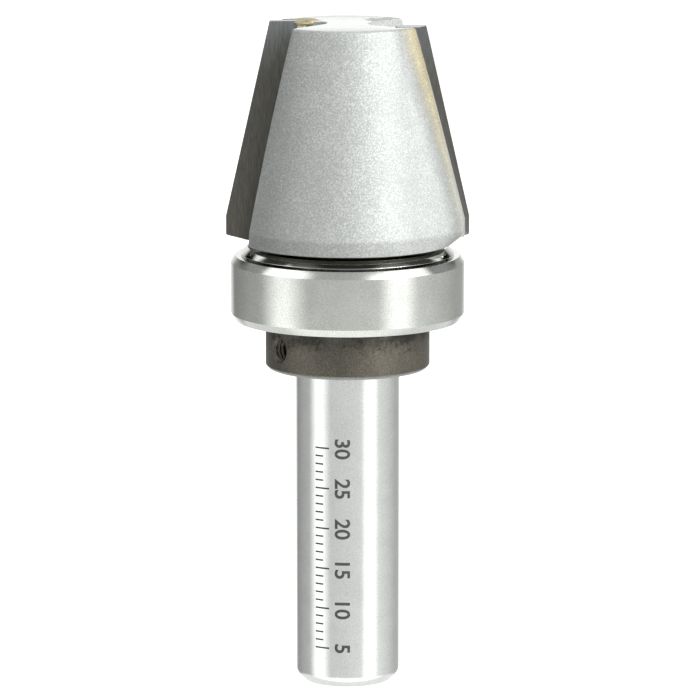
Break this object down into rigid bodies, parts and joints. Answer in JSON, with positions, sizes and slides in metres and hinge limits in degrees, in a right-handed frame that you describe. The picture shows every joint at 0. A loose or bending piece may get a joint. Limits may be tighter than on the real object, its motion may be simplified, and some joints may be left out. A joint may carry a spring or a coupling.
{
  "type": "countertop router bit",
  "caption": "Tapered two-flute router bit with brazed carbide tips, a shank-mounted guide bearing and a lock collar on a straight half-inch shank.",
  "frame": {"origin": "centre of the flat end face of the shank, on which the bit stands", "axes": "+Z along the bit's axis from the shank to the head, -Y towards the left tip's cutting face, +X towards the right tip"},
  "size_m": [0.0296, 0.0286, 0.0815],
  "materials": {
    "head_and_shank": "satin silver coat on the head, ground bare shank",
    "carbide": "ground dark grey carbide",
    "braze": "pale gold brazing alloy",
    "polished_washer": "polished steel",
    "bearing_steel": "ground bearing steel",
    "ball_steel": "polished bearing steel",
    "pressed_steel": "pressed sheet steel",
    "black_collar": "black oxide, slightly worn",
    "black_screw": "black oxide"
  },
  "bodies": {
    "cutter": {"cutter_body": "head_and_shank", "carbide_tip_left": "carbide", "carbide_tip_right": "carbide", "braze_seam_left": "braze", "braze_seam_right": "braze", "bearing_washer": "polished_washer", "bearing_inner_ring": "bearing_steel", "lock_collar": "black_collar", "set_screw": "black_screw"},
    "outer_race": {"bearing_outer_ring": "bearing_steel", "shield_upper": "pressed_steel", "shield_lower": "pressed_steel"},
    "ball_cage": {"cage_upper": "pressed_steel", "cage_lower": "pressed_steel", "cage_rivet_1": "pressed_steel", "cage_rivet_2": "pressed_steel", "cage_rivet_3": "pressed_steel", "cage_rivet_4": "pressed_steel", "cage_rivet_5": "pressed_steel", "cage_rivet_6": "pressed_steel", "cage_rivet_7": "pressed_steel", "cage_rivet_8": "pressed_steel"},
    "ball_1": {"bearing_ball_1": "ball_steel"},
    "ball_2": {"bearing_ball_2": "ball_steel"},
    "ball_3": {"bearing_ball_3": "ball_steel"},
    "ball_4": {"bearing_ball_4": "ball_steel"},
    "ball_5": {"bearing_ball_5": "ball_steel"},
    "ball_6": {"bearing_ball_6": "ball_steel"},
    "ball_7": {"bearing_ball_7": "ball_steel"},
    "ball_8": {"bearing_ball_8": "ball_steel"}
  },
  "joints": [
    {"name": "outer_race_spin", "type": "hinge", "parent": "cutter", "child": "outer_race", "pos_m": [0, 0, 0.0491], "axis": [0, 0, 1], "continuous": true},
    {"name": "ball_cage_spin", "type": "hinge", "parent": "cutter", "child": "ball_cage", "pos_m": [0, 0, 0.0491], "axis": [0, 0, 1], "continuous": true},
    {"name": "ball_1_roll", "type": "hinge", "parent": "ball_cage", "child": "ball_1", "pos_m": [0.01032, 0, 0.0491], "axis": [0, 0, 1], "continuous": true},
    {"name": "ball_2_roll", "type": "hinge", "parent": "ball_cage", "child": "ball_2", "pos_m": [0.0073, 0.0073, 0.0491], "axis": [0, 0, 1], "continuous": true},
    {"name": "ball_3_roll", "type": "hinge", "parent": "ball_cage", "child": "ball_3", "pos_m": [0, 0.01032, 0.0491], "axis": [0, 0, 1], "continuous": true},
    {"name": "ball_4_roll", "type": "hinge", "parent": "ball_cage", "child": "ball_4", "pos_m": [-0.0073, 0.0073, 0.0491], "axis": [0, 0, 1], "continuous": true},
    {"name": "ball_5_roll", "type": "hinge", "parent": "ball_cage", "child": "ball_5", "pos_m": [-0.01032, 0, 0.0491], "axis": [0, 0, 1], "continuous": true},
    {"name": "ball_6_roll", "type": "hinge", "parent": "ball_cage", "child": "ball_6", "pos_m": [-0.0073, -0.0073, 0.0491], "axis": [0, 0, 1], "continuous": true},
    {"name": "ball_7_roll", "type": "hinge", "parent": "ball_cage", "child": "ball_7", "pos_m": [0, -0.01032, 0.0491], "axis": [0, 0, 1], "continuous": true},
    {"name": "ball_8_roll", "type": "hinge", "parent": "ball_cage", "child": "ball_8", "pos_m": [0.0073, -0.0073, 0.0491], "axis": [0, 0, 1], "continuous": true}
  ],
  "couplings": [
    {"joint": "ball_cage_spin", "follows": "outer_race_spin", "ratio": 0.61538},
    {"joint": "ball_1_roll", "follows": "outer_race_spin", "ratio": 2.0513},
    {"joint": "ball_2_roll", "follows": "outer_race_spin", "ratio": 2.0513},
    {"joint": "ball_3_roll", "follows": "outer_race_spin", "ratio": 2.0513},
    {"joint": "ball_4_roll", "follows": "outer_race_spin", "ratio": 2.0513},
    {"joint": "ball_5_roll", "follows": "outer_race_spin", "ratio": 2.0513},
    {"joint": "ball_6_roll", "follows": "outer_race_spin", "ratio": 2.0513},
    {"joint": "ball_7_roll", "follows": "outer_race_spin", "ratio": 2.0513},
    {"joint": "ball_8_roll", "follows": "outer_race_spin", "ratio": 2.0513}
  ]
}
